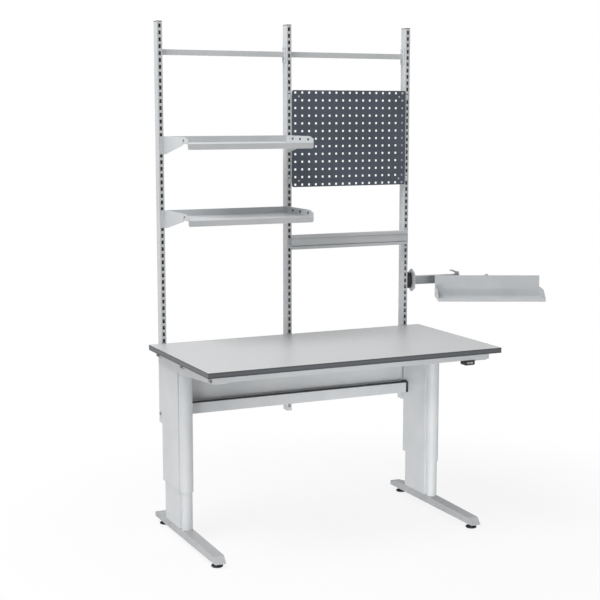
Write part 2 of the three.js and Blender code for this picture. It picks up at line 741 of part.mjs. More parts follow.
// Folded shelf tray: floor, back and end rims, and a front lip turned down
function shelfTray(floorTop) {
  const half = shelfWidth / 2;
  const back = UPRIGHT_FRONT - SHELF_BACK_GAP;
  const front = back - SHELF_DEPTH;
  const floor = floorTop - SHEET;
  const rim = floorTop + SHELF_RIM;
  const lip = roundedRectangle(-half, half, floorTop - SHELF_LIP, floorTop + SHELF_LIP, SHELF_LIP_CORNER);
  const lipDepth = [front - PAST, front + SHEET + PAST];
  const lipTrim = block(-half - PAST, half + PAST, ...lipDepth, floorTop, rim + PAST);
  const rimSide = outline([
    [back, floor],
    [back, rim],
    [front + RIM_FRONT_CHAMFER, rim],
    [front, rim - RIM_FRONT_DROP],
    [front, floor],
  ]);
  const rimHoles = RIM_HOLES.map((distance) => block(
    -half - PAST,
    half + PAST,
    back - distance - RIM_HOLE_LENGTH / 2,
    back - distance + RIM_HOLE_LENGTH / 2,
    floorTop + SHELF_RIM / 2 - RIM_HOLE_HEIGHT / 2,
    floorTop + SHELF_RIM / 2 + RIM_HOLE_HEIGHT / 2,
  ));
  const body = join(
    block(-half, half, front, back, floor, floorTop),
    block(-half, half, back - SHEET, back, floor, rim),
    prismX(rimSide, -half, SHEET - half),
    prismX(rimSide, half - SHEET, half),
    cut(prismY(lip, front, front + SHEET), lipTrim),
  );
  return cut(body, ...rimHoles);
}

// Gusset beside the shelf's end rim, with its hooked flange on the upright
function shelfBracket(floorTop, slotLevels) {
  const offset = SHELF_END_GAP - FIT;
  const inner = offset - BRACKET_PLATE;
  const high = floorTop + SHELF_RIM;
  const low = floorTop - BRACKET_BELOW;
  const tip = flangeBack - BRACKET_LENGTH;
  const gusset = outline([
    [flangeBack, high],
    [flangeBack, low],
    [flangeFront - BRACKET_NOSE, low],
    [tip, floorTop - BRACKET_NOSE / 2],
    [tip, floorTop + BRACKET_NOSE],
    [tip + BRACKET_NOSE, high],
  ]);
  const flange = hookFlange(-HOOK_FLANGE_HALF, offset, low, high, slotLevels);
  return join(prismX(gusset, inner, offset), flange);
}

// Mirror image in X, with the triangles turned round so that they still face outwards
function mirrorX(geometry) {
  const mirrored = geometry.clone().scale(-1, 1, 1);
  const index = mirrored.index.array;
  for (let i = 0; i < index.length; i += 3) {
    [index[i], index[i + 1]] = [index[i + 1], index[i]];
  }
  mirrored.computeVertexNormals();
  return mirrored;
}

function addShelves() {
  for (const [name, slot] of Object.entries(SHELF_SLOT_INDEX)) {
    const level = slotHeight(slot) - SHELF_BELOW_SLOT;
    const levels = [slotHeight(slot), slotHeight(slot + 1)];
    const bracket = shelfBracket(level, levels);
    const middle = addGroup(bench, -uprightPitch / 2, 0, 0);
    const leftUpright = addGroup(bench, -uprightPitch, 0, 0);
    addPiece(`${name}_shelf`, shelfTray(level), LIGHT_GREY_PAINT, middle);
    addPiece(`${name}_shelf_left_bracket`, bracket, LIGHT_GREY_PAINT, leftUpright);
    addPiece(`${name}_shelf_right_bracket`, mirrorX(bracket), LIGHT_GREY_PAINT);
  }
}

// Perforated panel between the middle and right uprights
function addPanel() {
  const half = bayClear / 2;
  const top = slotHeight(PANEL_TOP_SLOT_INDEX) + PANEL_ABOVE_SLOT;
  const bottom = top - PANEL_HEIGHT;
  const columns = Math.floor((bayClear - HOLE_MARGIN * 2) / HOLE_PITCH) + 1;
  const rows = Math.floor((PANEL_HEIGHT - HOLE_MARGIN * 2) / HOLE_PITCH) + 1;
  const firstX = (-(columns - 1) * HOLE_PITCH) / 2;
  const firstZ = (top + bottom - (rows - 1) * HOLE_PITCH) / 2;
  const face = roundedRectangle(-half, half, bottom, top, PANEL_CORNER);
  const back = flangeFront - FIT;
  const front = back - PANEL_SHEET;
  const reach = HOLE_SIZE / 2;
  const hole = block(-reach, reach, front - PAST, back + PAST, -reach, reach);
  const holes = [];
  for (let column = 0; column < columns; column += 1) {
    for (let row = 0; row < rows; row += 1) {
      holes.push(hole.clone().translate(firstX + column * HOLE_PITCH, 0, firstZ + row * HOLE_PITCH));
    }
  }
  const frame = addGroup(bench, uprightPitch / 2, 0, 0);
  addPiece('perforated_panel', cut(prismY(face, front, back), together(holes)), BLUE_GREY_PAINT, frame);
  const fixingLevels = [firstZ + (rows - 1.5) * HOLE_PITCH, firstZ + HOLE_PITCH / 2];
  const slots = [slotHeight(PANEL_TOP_SLOT_INDEX), slotHeight(PANEL_BOTTOM_SLOT_INDEX)];
  const tabEnd = UPRIGHT_WIDTH / 2 + PANEL_TAB_REACH + HOLE_PITCH / 2;
  const tabs = fixingLevels.map((level, index) => {
    const low = Math.min(level, slots[index]) - PANEL_TAB_HEIGHT / 2;
    const high = Math.max(level, slots[index]) + PANEL_TAB_HEIGHT / 4;
    return hookFlange(-HOOK_FLANGE_HALF, tabEnd, low, high, [slots[index]]);
  });
  const stripStart = HOOK_FLANGE_HALF + PAST;
  const stripEnd = UPRIGHT_WIDTH / 2 + PANEL_STRIP;
  const strip = block(stripStart, stripEnd, flangeFront, flangeBack, slots[1], slots[0]);
  const bracket = join(strip, ...tabs);
  addPiece('panel_left_bracket', bracket, LIGHT_GREY_PAINT);
  addPiece('panel_right_bracket', mirrorX(bracket), LIGHT_GREY_PAINT, addGroup(bench, uprightPitch, 0, 0));
}

// Ribbed hollow rail that storage bins hang on
function addBinRail() {
  const level = slotHeight(BIN_RAIL_SLOT_INDEX);
  const low = level - BIN_RAIL_BELOW_SLOT;
  const high = low + BIN_RAIL_HEIGHT;
  const back = flangeFront + FIT;
  const front = back - BIN_RAIL_DEPTH;
  const face = front + BIN_RAIL_RECESS;
  const groove = face + BIN_RAIL_RECESS;
  const notch = face + BIN_RAIL_EDGE / 2;
  const lipLow = low + BIN_RAIL_LOWER_LIP;
  const lipHigh = high - BIN_RAIL_UPPER_LIP;
  const faceLow = lipLow + BIN_RAIL_GROOVE;
  const profile = outline([
    [back, low],
    [back, high],
    [front + BIN_RAIL_EDGE, high],
    [front, high - BIN_RAIL_EDGE],
    [front, lipHigh],
    [notch, lipHigh],
    [notch, lipHigh - BIN_RAIL_GROOVE],
    [face, lipHigh - BIN_RAIL_GROOVE],
    [face, faceLow],
    [groove, faceLow],
    [groove, lipLow],
    [front, lipLow],
    [front, low + BIN_RAIL_EDGE],
    [front + BIN_RAIL_EDGE, low],
  ]);
  const boreBack = back - BIN_RAIL_WALL;
  const boreFront = face + BIN_RAIL_WALL;
  profile.holes.push(outline([
    [boreBack, faceLow + BIN_RAIL_WALL],
    [boreBack, high - BIN_RAIL_WALL],
    [boreFront, high - BIN_RAIL_WALL],
    [boreFront, faceLow + BIN_RAIL_WALL],
  ]));
  const rail = prismX(profile, BIN_RAIL_END_GAP, uprightPitch - BIN_RAIL_END_GAP);
  const hookLow = level - BIN_HOOK_HEIGHT / 2;
  const hook = hookFlange(-HOOK_FLANGE_HALF, BIN_HOOK_REACH, hookLow, hookLow + BIN_HOOK_HEIGHT, [level]);
  const otherHook = mirrorX(hook).translate(uprightPitch, 0, 0);
  addPiece('bin_rail', join(rail, hook, otherHook), LIGHT_GREY_PAINT);
}

// Clamp block on the upright's side with two bored ears
function armClamp() {
  const half = KNUCKLE_HEIGHT / 2;
  const side = KNUCKLE_RADIUS;
  const blockEnd = -KNUCKLE_RADIUS - RUNNING_GAP;
  const ear = (z0, z1) => [
    block(blockEnd - PAST, 0, -side, side, z0, z1),
    rod(KNUCKLE_RADIUS, 0, 0, z0, z1, ROUND_SIDES * 2),
  ];
  const body = join(
    block(FIT - PIVOT_OUT, blockEnd, -side, side, -half, half),
    ...ear(half - KNUCKLE_EAR, half),
    ...ear(-half, KNUCKLE_EAR - half),
  );
  return cut(body, rod(PIN_RADIUS + FIT, 0, 0, -half - PAST, half + PAST));
}

function armPin() {
  const half = KNUCKLE_HEIGHT / 2;
  const headLow = half + FIT;
  return join(
    rod(PIN_RADIUS, 0, 0, -half, headLow + PAST),
    rod(PIN_HEAD_RADIUS, 0, 0, headLow, headLow + PIN_HEAD_HEIGHT),
  );
}

// Barrel that turns between the ears, flattened towards the plate
function armBarrel() {
  const half = KNUCKLE_HEIGHT / 2 - KNUCKLE_EAR - RUNNING_GAP;
  const body = join(
    rod(KNUCKLE_RADIUS, 0, 0, -half, half, ROUND_SIDES * 2),
    block(0, plateStandoff - FIT, -KNUCKLE_RADIUS, KNUCKLE_RADIUS, -half, half),
  );
  return cut(body, rod(PIN_RADIUS + RUNNING_GAP, 0, 0, -half - PAST, half + PAST));
}

// Lozenge plate that carries the inner arm
function armFlange() {
  const side = PLATE_WIDTH / 2;
  const shoulder = PLATE_SHOULDER / 2;
  const tip = PLATE_HEIGHT / 2;
  const corner = INNER_ARM_WIDTH / 4;
  const lozenge = outline([
    [corner, tip],
    [-corner, tip],
    [-side, shoulder],
    [-side, -shoulder],
    [-corner, -tip],
    [corner, -tip],
    [side, -shoulder],
    [side, shoulder],
  ]);
  return prismX(lozenge, plateStandoff, plateStandoff + PLATE_THICKNESS);
}

// Grooved bar with a rounded, bored end at the elbow
function innerArm() {
  const side = INNER_ARM_WIDTH / 2;
  const half = INNER_ARM_HEIGHT / 2;
  const deep = side - ARM_GROOVE_DEPTH;
  const low = ARM_GROOVE_LEVEL - ARM_GROOVE_WIDTH / 2;
  const high = ARM_GROOVE_LEVEL + ARM_GROOVE_WIDTH / 2;
  const lower = [[side, -half], [side, -high], [deep, -high], [deep, -low], [side, -low]];
  const upper = lower.map(([u, v]) => [u, -v]).reverse();
  const opposite = [...lower, ...upper].map(([u, v]) => [-u, -v]);
  const start = plateStandoff + PLATE_THICKNESS + FIT;
  const body = join(
    prismX(outline([...lower, ...upper, ...opposite]), start, INNER_ARM_REACH),
    rod(side, INNER_ARM_REACH, 0, -half, half, ROUND_SIDES * 2),
  );
  return cut(body, rod(ELBOW_POST_RADIUS + RUNNING_GAP, INNER_ARM_REACH, 0, -half - PAST, half + PAST));
}

// Bar under the inner arm, with the elbow post standing on one end and a bore in the other
function outerArm() {
  const side = OUTER_ARM_WIDTH / 2;
  const low = outerArmTop - OUTER_ARM_HEIGHT;
  const postTop = INNER_ARM_HEIGHT / 2 + ELBOW_POST_PROUD;
  const body = join(
    block(0, OUTER_ARM_REACH, -side, side, low, outerArmTop),
    rod(side, 0, 0, low, outerArmTop, ROUND_SIDES * 2),
    rod(side, OUTER_ARM_REACH, 0, low, outerArmTop, ROUND_SIDES * 2),
    rod(ELBOW_POST_RADIUS, 0, 0, low, postTop),
  );
  return cut(body, rod(TRAY_PIN_RADIUS + RUNNING_GAP, OUTER_ARM_REACH, 0, low - PAST, outerArmTop + PAST));
}

// Clamping lever that screws down on the elbow post
function elbowLever() {
  const low = INNER_ARM_HEIGHT / 2 + RUNNING_GAP;
  const high = low + LEVER_HUB_HEIGHT;
  const root = high - LEVER_THICKNESS - LEVER_RISE;
  const tip = high - LEVER_THICKNESS;
  const handle = outline([
    [0, root],
    [0, high - LEVER_RISE],
    [LEVER_REACH - LEVER_THICKNESS, high],
    [LEVER_REACH, high - LEVER_THICKNESS / 4],
    [LEVER_REACH, tip + LEVER_THICKNESS / 4],
    [LEVER_REACH - LEVER_THICKNESS, tip],
  ]);
  const body = join(
    rod(LEVER_HUB_RADIUS, 0, 0, low, high - LEVER_RISE),
    prismY(handle, -LEVER_WIDTH / 2, LEVER_WIDTH / 2),
  );
  const seatTop = INNER_ARM_HEIGHT / 2 + ELBOW_POST_PROUD + RUNNING_GAP;
  return cut(body, rod(ELBOW_POST_RADIUS + RUNNING_GAP, 0, 0, low - PAST, seatTop));
}

// Lug with a pin down through the outer arm, and a face plate on the tray's back
function trayBracket() {
  const low = outerArmTop + RUNNING_GAP;
  const high = low + LUG_THICKNESS;
  const face = FIT - TRAY_OFFSET;
  const half = LUG_FACE_WIDTH / 2;
  return join(
    block(-half, half, face, face + LUG_FACE_THICKNESS, low - LUG_FACE_DROP, high),
    block(-LUG_RADIUS, LUG_RADIUS, face, 0, low, high),
    rod(LUG_RADIUS, 0, 0, low, high, ROUND_SIDES * 2),
    rod(TRAY_PIN_RADIUS, 0, 0, outerArmTop - OUTER_ARM_HEIGHT, high),
  );
}

function trayKnob() {
  const low = outerArmTop + RUNNING_GAP * 2 + LUG_THICKNESS;
  const high = TRAY_BACK_HEIGHT + KNOB_TOP_ABOVE_TRAY - TRAY_DROP;
  const profile = [
    [0, low],
    [KNOB_NECK_RADIUS, low],
    [KNOB_NECK_RADIUS, high - KNOB_GRIP],
    [KNOB_RADIUS, high - KNOB_GRIP + KNOB_RIM],
    [KNOB_RADIUS, high - KNOB_RIM],
    [KNOB_RADIUS - KNOB_RIM, high],
    [0, high],
  ];
  const points = profile.map(([r, z]) => new THREE.Vector2(r, z));
  return new THREE.LatheGeometry(points, ROUND_SIDES).rotateX(Math.PI / 2);
}

// Folded tray: floor, tall back, short front lip and slanted end walls
function sideTray() {
  const half = TRAY_LENGTH / 2;
  const back = -TRAY_OFFSET;
  const front = back - TRAY_DEPTH;
  const low = -TRAY_DROP;
  const endWall = outline([
    [back, low],
    [back, low + TRAY_END_HEIGHT],
    [back - TRAY_END_FLAT, low + TRAY_END_HEIGHT],
    [front + SHEET, low + TRAY_LIP],
    [front + SHEET, low],
  ]);
  return join(
    block(-half, half, front, back, low, low + SHEET),
    block(-half, half, back - SHEET, back, low, low + TRAY_BACK_HEIGHT),
    block(-half, half, front, front + SHEET, low, low + TRAY_LIP),
    prismX(endWall, -half, SHEET - half),
    prismX(endWall, half - SHEET, half),
  );
}

function addSideTray() {
  const pivotX = uprightPitch + UPRIGHT_WIDTH / 2 + PIVOT_OUT;
  const pivotY = UPRIGHT_FRONT + UPRIGHT_DEPTH / 2;
  const pivot = addGroup(bench, pivotX, pivotY, ARM_LEVEL);
  addPiece('arm_clamp', armClamp(), BLACK_PLASTIC, pivot);
  addPiece('arm_pivot_pin', armPin(), ZINC_STEEL, pivot);
  const inner = addGroup(pivot, 0, 0, 0, INNER_ARM_TURN);
  addPiece('arm_barrel', armBarrel(), BLACK_PLASTIC, inner);
  addPiece('arm_flange', armFlange(), LIGHT_GREY_PAINT, inner);
  addPiece('inner_arm', innerArm(), RAW_ALUMINIUM, inner);
  const outer = addGroup(inner, INNER_ARM_REACH, 0, 0, OUTER_ARM_TURN - INNER_ARM_TURN);
  addPiece('outer_arm', outerArm(), RAW_ALUMINIUM, outer);
  const lever = addGroup(outer, 0, 0, 0, LEVER_TURN - OUTER_ARM_TURN);
  addPiece('elbow_lever', elbowLever(), ZINC_STEEL, lever);
  const tray = addGroup(outer, OUTER_ARM_REACH, 0, 0, TRAY_TURN - OUTER_ARM_TURN);
  addPiece('tray_bracket', trayBracket(), LIGHT_GREY_PAINT, tray);
  addPiece('tray_knob', trayKnob(), PALE_PLASTIC, tray);
  addPiece('side_tray', sideTray(), LIGHT_GREY_PAINT, tray);
}

addWorktop();
addRails();
addLeg('left', -legSpan / 2);
addLeg('right', legSpan / 2);
addTrough();
addHandControl();
addPumpUnit();
addUprights();
addShelves();
addPanel();
addBinRail();
addSideTray();

// Origin at the middle of the footprint, on the floor
const box = new THREE.Box3().setFromObject(bench);
bench.position.set(-(box.min.x + box.max.x) / 2, -(box.min.y + box.max.y) / 2, -box.min.z);
const workbench = new THREE.Group();
workbench.add(bench);
workbench.updateMatrixWorld(true);

export default workbench;
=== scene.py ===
# %% [markdown]
# A height-adjustable workbench with slotted uprights, dressed for a studio picture.
# The solid model gives every piece its place and size. This lesson softens its edges, adds the
# bolts and screws, puts dark plug pieces in the shelf-rim slots as painted shade, and gives each
# surface its finish.

# %% Load the imported bench
import json
import math

import bmesh
import bpy
from mathutils import Matrix, Vector


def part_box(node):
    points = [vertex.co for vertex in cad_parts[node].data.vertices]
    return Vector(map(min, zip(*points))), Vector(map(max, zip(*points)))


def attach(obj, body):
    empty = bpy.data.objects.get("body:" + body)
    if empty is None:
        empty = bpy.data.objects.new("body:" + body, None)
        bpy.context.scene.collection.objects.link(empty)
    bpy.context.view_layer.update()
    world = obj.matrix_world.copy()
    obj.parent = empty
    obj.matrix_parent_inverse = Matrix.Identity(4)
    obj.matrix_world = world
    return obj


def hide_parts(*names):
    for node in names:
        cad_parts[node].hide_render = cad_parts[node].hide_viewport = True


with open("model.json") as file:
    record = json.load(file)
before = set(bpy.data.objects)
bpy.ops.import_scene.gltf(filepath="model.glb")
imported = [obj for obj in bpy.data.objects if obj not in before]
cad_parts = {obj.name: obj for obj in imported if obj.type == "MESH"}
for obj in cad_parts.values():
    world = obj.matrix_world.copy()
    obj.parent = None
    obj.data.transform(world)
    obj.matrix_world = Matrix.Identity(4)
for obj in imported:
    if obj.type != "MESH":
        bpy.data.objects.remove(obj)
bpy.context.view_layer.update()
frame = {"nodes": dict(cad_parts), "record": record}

MM = 0.001
scene = bpy.context.scene
body_of_node = {
    node: body
    for body, nodes in frame["record"]["behaviour"]["bodies"].items()
    for node in nodes
}
slot_of_node = {row["node"]: row["material_slot"] for row in frame["record"]["subparts"]}

# %% [markdown]
# The camera stands about six metres in front, to the left of the bench and two metres up,
# with a long lens. Its place was worked out from the corners of the worktop, which is
# taken as 1500 mm wide, so the picture lines up with no shift.

# %% Set up the camera
CAMERA_PLACE = (-3.0569, -5.6850, 2.0232)
CAMERA_PITCH_DOWN = 8.054
CAMERA_TURN_RIGHT = 25.144
CAMERA_LENS = 79.62
CAMERA_REACH = 60

bpy.ops.object.select_all(action="DESELECT")
bpy.ops.object.camera_add(
    location=CAMERA_PLACE,
    rotation=(math.radians(90 - CAMERA_PITCH_DOWN), 0, math.radians(-CAMERA_TURN_RIGHT)),
)
camera = bpy.context.object
camera.data.lens = CAMERA_LENS
camera.data.clip_end = CAMERA_REACH
scene.camera = camera
scene.view_settings.view_transform = "Standard"
print("camera lens", camera.data.lens)

# %% [markdown]
# Every finish below is built from nodes. Four small helpers keep that short. One turns a
# hex colour, as a paint chart gives it, into the linear values that light works in. One
# links sources to the sockets of a node. One adds a node, sets its values or the stops of
# its colour ramp, and links it. The last starts a finish with the values that are the same
# all over the surface.


# %% Helpers for the finishes
def linear(hex_colour):
    channels = [int(hex_colour[i:i + 2], 16) / 255 for i in (1, 3, 5)]
    return [c / 12.92 if c <= 0.04045 else ((c + 0.055) / 1.055) ** 2.4 for c in channels] + [1]


def connect(owner, target, links):
    for socket, source in links.items():
        owner.node_tree.links.new(source, target.inputs[socket])


def add_node(owner, kind, settings=None, links=None):
    made = owner.node_tree.nodes.new(kind)
    for name, value in (settings or {}).items():
        if name == "stops":
            for position, _ in value[1:-1]:
                made.color_ramp.elements.new(position)
            for element, (position, colour) in zip(made.color_ramp.elements, value):
                element.position = position
                element.color = linear(colour)
        elif name in made.inputs:
            made.inputs[name].default_value = value
        else:
            setattr(made, name, value)
    connect(owner, made, links or {})
    return made


def new_finish(name, settings):
    material = bpy.data.materials.new(name)
    material.use_nodes = True
    shader = material.node_tree.nodes["Principled BSDF"]
    for socket, value in settings.items():
        shader.inputs[socket].default_value = value
    return material, shader


print("white is", linear("#ffffff")[:3])

# %% [markdown]
# Powder coat is paint that was dusted on and baked. Up close its skin rolls like orange
# peel, and over a wide panel its tone drifts very slightly. The real peel is about one
# millimetre across, too fine for this picture, so it is drawn at four millimetres with a
# low bump. The gloss drifts with the peel, so long edges don't look printed.

# %% Powder coats
PEEL_SIZE = 4 * MM
CLOUD_SIZE = 180 * MM
PEEL_GLOSS_DRIFT = 0.06
DARK_STOP = 0.35
PALE_STOP = 0.65


def powder_coat(name, dark, pale, roughness):
    material, shader = new_finish(name, {"Metallic": 0.0, "IOR": 1.5})
    place = {"Vector": add_node(material, "ShaderNodeTexCoord").outputs["Object"]}
    cloud = add_node(material, "ShaderNodeTexNoise", {"Scale": 1 / CLOUD_SIZE, "Detail": 3}, place)
    peel = add_node(material, "ShaderNodeTexNoise", {"Scale": 1 / PEEL_SIZE, "Detail": 2}, place)
    tone = add_node(
        material,
        "ShaderNodeValToRGB",
        {"stops": [(DARK_STOP, dark), (PALE_STOP, pale)]},
        {"Fac": cloud.outputs["Fac"]},
    )
    gloss = add_node(
        material,
        "ShaderNodeMapRange",
        {"To Min": roughness - PEEL_GLOSS_DRIFT, "To Max": roughness + PEEL_GLOSS_DRIFT},
        {"Value": peel.outputs["Fac"]},
    )
    bump = add_node(
        material,
        "ShaderNodeBump",
        {"Strength": 0.12, "Distance": 0.3 * MM},
        {"Height": peel.outputs["Fac"]},
    )
    connect(material, shader, {
        "Base Color": tone.outputs["Color"],
        "Roughness": gloss.outputs["Result"],
        "Normal": bump.outputs["Normal"],
    })
    return material


light_coat = powder_coat("light_grey_powder_coat", "#cccfd1", "#d4d6d8", roughness=0.46)
dark_coat = powder_coat("blue_grey_powder_coat", "#474e5a", "#4f5764", roughness=0.5)
black_coat = powder_coat("black_powder_coat", "#1d1e1f", "#252627", roughness=0.42)
foot_coat = powder_coat("silver_grey_powder_coat", "#aaacae", "#b4b6b8", roughness=0.4)
print("powder coats:", light_coat.name, dark_coat.name, black_coat.name, foot_coat.name)

# %% [markdown]
# The worktop is particle board under a melamine laminate. The sheet is printed with a
# fine mist of pale and dark flecks and pressed to a satin grain. The flecks are drawn six
# millimetres across, coarser than real ones, so that they still show from this far away.

# %% Melamine laminate
FLECK_SIZE = 6 * MM
GRAIN_SIZE = 2 * MM

laminate, laminate_shader = new_finish(
    "melamine_laminate", {"Metallic": 0.0, "IOR": 1.52, "Roughness": 0.4})
laminate_place = {"Vector": add_node(laminate, "ShaderNodeTexCoord").outputs["Object"]}
flecks = add_node(
    laminate,
    "ShaderNodeTexNoise",
    {"Scale": 1 / FLECK_SIZE, "Detail": 4, "Roughness": 0.7},
    laminate_place,
)
grain = add_node(laminate, "ShaderNodeTexNoise", {"Scale": 1 / GRAIN_SIZE}, laminate_place)
fleck_tone = add_node(
    laminate,
    "ShaderNodeValToRGB",
    {"stops": [(DARK_STOP, "#c9cbcc"), (PALE_STOP, "#d3d4d5")]},
    {"Fac": flecks.outputs["Fac"]},
)
grain_bump = add_node(
    laminate,
    "ShaderNodeBump",
    {"Strength": 0.1, "Distance": 0.15 * MM},
    {"Height": grain.outputs["Fac"]},
)
connect(laminate, laminate_shader, {
    "Base Color": fleck_tone.outputs["Color"],
    "Normal": grain_bump.outputs["Normal"],
})
print("laminate flecks", FLECK_SIZE)

# %% [markdown]
# The upright caps, the levelling feet, the hand control and the clamps are moulded plastic.
# A spark-eroded mould leaves an even matt grain, drawn here at three millimetres. It breaks
# up the highlight, so that the eye doesn't take the plastic for paint.

# %% Moulded plastics
MOULD_GRAIN = 3 * MM
MOULD_GLOSS_DRIFT = 0.08


def moulded_plastic(name, dark, pale, roughness):
    material, shader = new_finish(name, {"Metallic": 0.0, "IOR": 1.53})
    place = {"Vector": add_node(material, "ShaderNodeTexCoord").outputs["Object"]}
    pores = add_node(material, "ShaderNodeTexNoise", {"Scale": 1 / MOULD_GRAIN, "Detail": 3}, place)
    tone = add_node(
        material,
        "ShaderNodeValToRGB",
        {"stops": [(DARK_STOP, dark), (PALE_STOP, pale)]},
        {"Fac": pores.outputs["Fac"]},
    )
    gloss = add_node(
        material,
        "ShaderNodeMapRange",
        {"To Min": roughness - MOULD_GLOSS_DRIFT, "To Max": roughness + MOULD_GLOSS_DRIFT},
        {"Value": pores.outputs["Fac"]},
    )
    bump = add_node(
        material,
        "ShaderNodeBump",
        {"Strength": 0.18, "Distance": 0.2 * MM},
        {"Height": pores.outputs["Fac"]},
    )
    connect(material, shader, {
        "Base Color": tone.outputs["Color"],
        "Roughness": gloss.outputs["Result"],
        "Normal": bump.outputs["Normal"],
    })
    return material


black_plastic = moulded_plastic("black_glass_filled_nylon", "#191919", "#212122", roughness=0.52)
pale_plastic = moulded_plastic("light_grey_abs", "#b6b8ba", "#bfc1c3", roughness=0.45)
cap_plastic = moulded_plastic("dark_grey_polyethylene", "#505356", "#585b5f", roughness=0.5)
print("plastics:", black_plastic.name, pale_plastic.name, cap_plastic.name)

# %% [markdown]
# The edge band of the worktop is extruded plastic. Its colour follows the height on the band: a
# painted highlight runs as a paler line along its middle, and the band is painted a little darker
# at the bottom than at the top, as shade.

# %% Edge band
band_plastic, band_shader = new_finish(
    "dark_grey_abs_edging", {"Metallic": 0.0, "IOR": 1.53, "Roughness": 0.45})
band_low, band_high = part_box("worktop_edge_band")
band_place = add_node(band_plastic, "ShaderNodeTexCoord").outputs["Object"]
band_axes = add_node(band_plastic, "ShaderNodeSeparateXYZ", links={"Vector": band_place})
band_height = add_node(
    band_plastic,
    "ShaderNodeMapRange",
    {"From Min": band_low.z, "From Max": band_high.z},
    {"Value": band_axes.outputs["Z"]},
)
# Painted highlight and shade: the stops make the band paler along its middle and a little darker at
# the bottom than at the top.
band_highlight_tone = add_node(
    band_plastic,
    "ShaderNodeValToRGB",
    {"stops": [(0, "#3d4043"), (0.5, "#5e6165"), (1, "#474a4d")]},
    {"Fac": band_height.outputs["Result"]},
)
connect(band_plastic, band_shader, {"Base Color": band_highlight_tone.outputs["Color"]})
print("edge band height", band_high.z - band_low.z)

# %% [markdown]
# The arms are drawn aluminium, which leaves fine lines along the bar. The lines are noise
# stretched along the bar's own direction, so the pattern is turned to it first.

# %% Drawn aluminium
DRAW_LINE_ACROSS = 1.5 * MM
DRAW_LINE_ALONG = 120 * MM
INNER_ARM_TURN = -5.8
OUTER_ARM_TURN = -56.2


def drawn_aluminium(name, turn_degrees):
    material, shader = new_finish(name, {"Metallic": 1.0})
    place = add_node(material, "ShaderNodeTexCoord").outputs["Object"]
    turned = add_node(
        material,
        "ShaderNodeMapping",
        {"Rotation": (0, 0, math.radians(-turn_degrees))},
        {"Vector": place},
    )
    stretched = add_node(
        material,
        "ShaderNodeMapping",
        {"Scale": (1 / DRAW_LINE_ALONG, 1 / DRAW_LINE_ACROSS, 1 / DRAW_LINE_ACROSS)},
        {"Vector": turned.outputs["Vector"]},
    )
    lines = add_node(
        material,
        "ShaderNodeTexNoise",
        {"Scale": 1.0, "Detail": 3},
        {"Vector": stretched.outputs["Vector"]},
    )
    tone = add_node(
        material,
        "ShaderNodeValToRGB",
        {"stops": [(DARK_STOP, "#94979a"), (PALE_STOP, "#aaacaf")]},
        {"Fac": lines.outputs["Fac"]},
    )
    gloss = add_node(
        material,
        "ShaderNodeMapRange",
        {"To Min": 0.34, "To Max": 0.5},
        {"Value": lines.outputs["Fac"]},
    )
    connect(material, shader, {
        "Base Color": tone.outputs["Color"],
        "Roughness": gloss.outputs["Result"],
    })
    return material


inner_aluminium = drawn_aluminium("drawn_aluminium_inner_arm", INNER_ARM_TURN)
outer_aluminium = drawn_aluminium("drawn_aluminium_outer_arm", OUTER_ARM_TURN)
print("aluminium:", inner_aluminium.name, outer_aluminium.name)

# %% [markdown]
# The bolts and pins are zinc-plated steel. Its soft crystalline bloom gives small patches
# of slightly different tone and gloss, which keeps the heads from looking chromed.

# %% Zinc-plated steel
BLOOM_SIZE = 5 * MM

zinc_steel, zinc_shader = new_finish("zinc_plated_steel", {"Metallic": 1.0})
zinc_place = {"Vector": add_node(zinc_steel, "ShaderNodeTexCoord").outputs["Object"]}
bloom = add_node(zinc_steel, "ShaderNodeTexVoronoi", {"Scale": 1 / BLOOM_SIZE}, zinc_place)
zinc_tone = add_node(
    zinc_steel,
    "ShaderNodeValToRGB",
    {"stops": [(0.1, "#a9abad"), (0.8, "#bcbec0")]},
    {"Fac": bloom.outputs["Distance"]},
)
zinc_gloss = add_node(
    zinc_steel,
    "ShaderNodeMapRange",
    {"To Min": 0.25, "To Max": 0.42},
    {"Value": bloom.outputs["Distance"]},
)
connect(zinc_steel, zinc_shader, {
    "Base Color": zinc_tone.outputs["Color"],
    "Roughness": zinc_gloss.outputs["Result"],
})
print("zinc bloom", BLOOM_SIZE)

# %% [markdown]
# Each node of the solid model gets the finish of its material slot. A few differ: the outer arm is
# drawn in another direction than the inner one, the edge band has its painted highlight along the
# middle, and the two feet wear a darker silver coat than the rest of the frame.

# %% Give every node its finish
finish_of_slot = {
    "laminate": laminate,
    "edge_plastic": cap_plastic,
    "light_paint": light_coat,
    "dark_paint": dark_coat,
    "black_paint": black_coat,
    "black_plastic": black_plastic,
    "pale_plastic": pale_plastic,
    "aluminium": inner_aluminium,
    "zinc_steel": zinc_steel,
}
finish_of_node = {
    "worktop_edge_band": band_plastic,
    "outer_arm": outer_aluminium,
    "left_foot": foot_coat,
    "right_foot": foot_coat,
}


def finish_for(name):
    return finish_of_node.get(name, finish_of_slot[slot_of_node[name]])


for name, solid in frame["nodes"].items():
    if not solid.material_slots:
        solid.data.materials.append(None)
    for place_for_finish in solid.material_slots:
        place_for_finish.material = finish_for(name)
print("finishes on", len(frame["nodes"]), "nodes")

# %% [markdown]
# No real edge is perfectly sharp: sheet metal bends round a radius, tube has rolled
# corners and moulded parts are blended. A thin bright line along an edge is what tells the
# eye so. The table gives each visible node the size of edge, in millimetres, that its
# making would leave.

# %% Choose the size of each edge
SHEET_BEND = 0.8
TUBE_CORNER = 2.5
MOULD_BLEND = 1.2

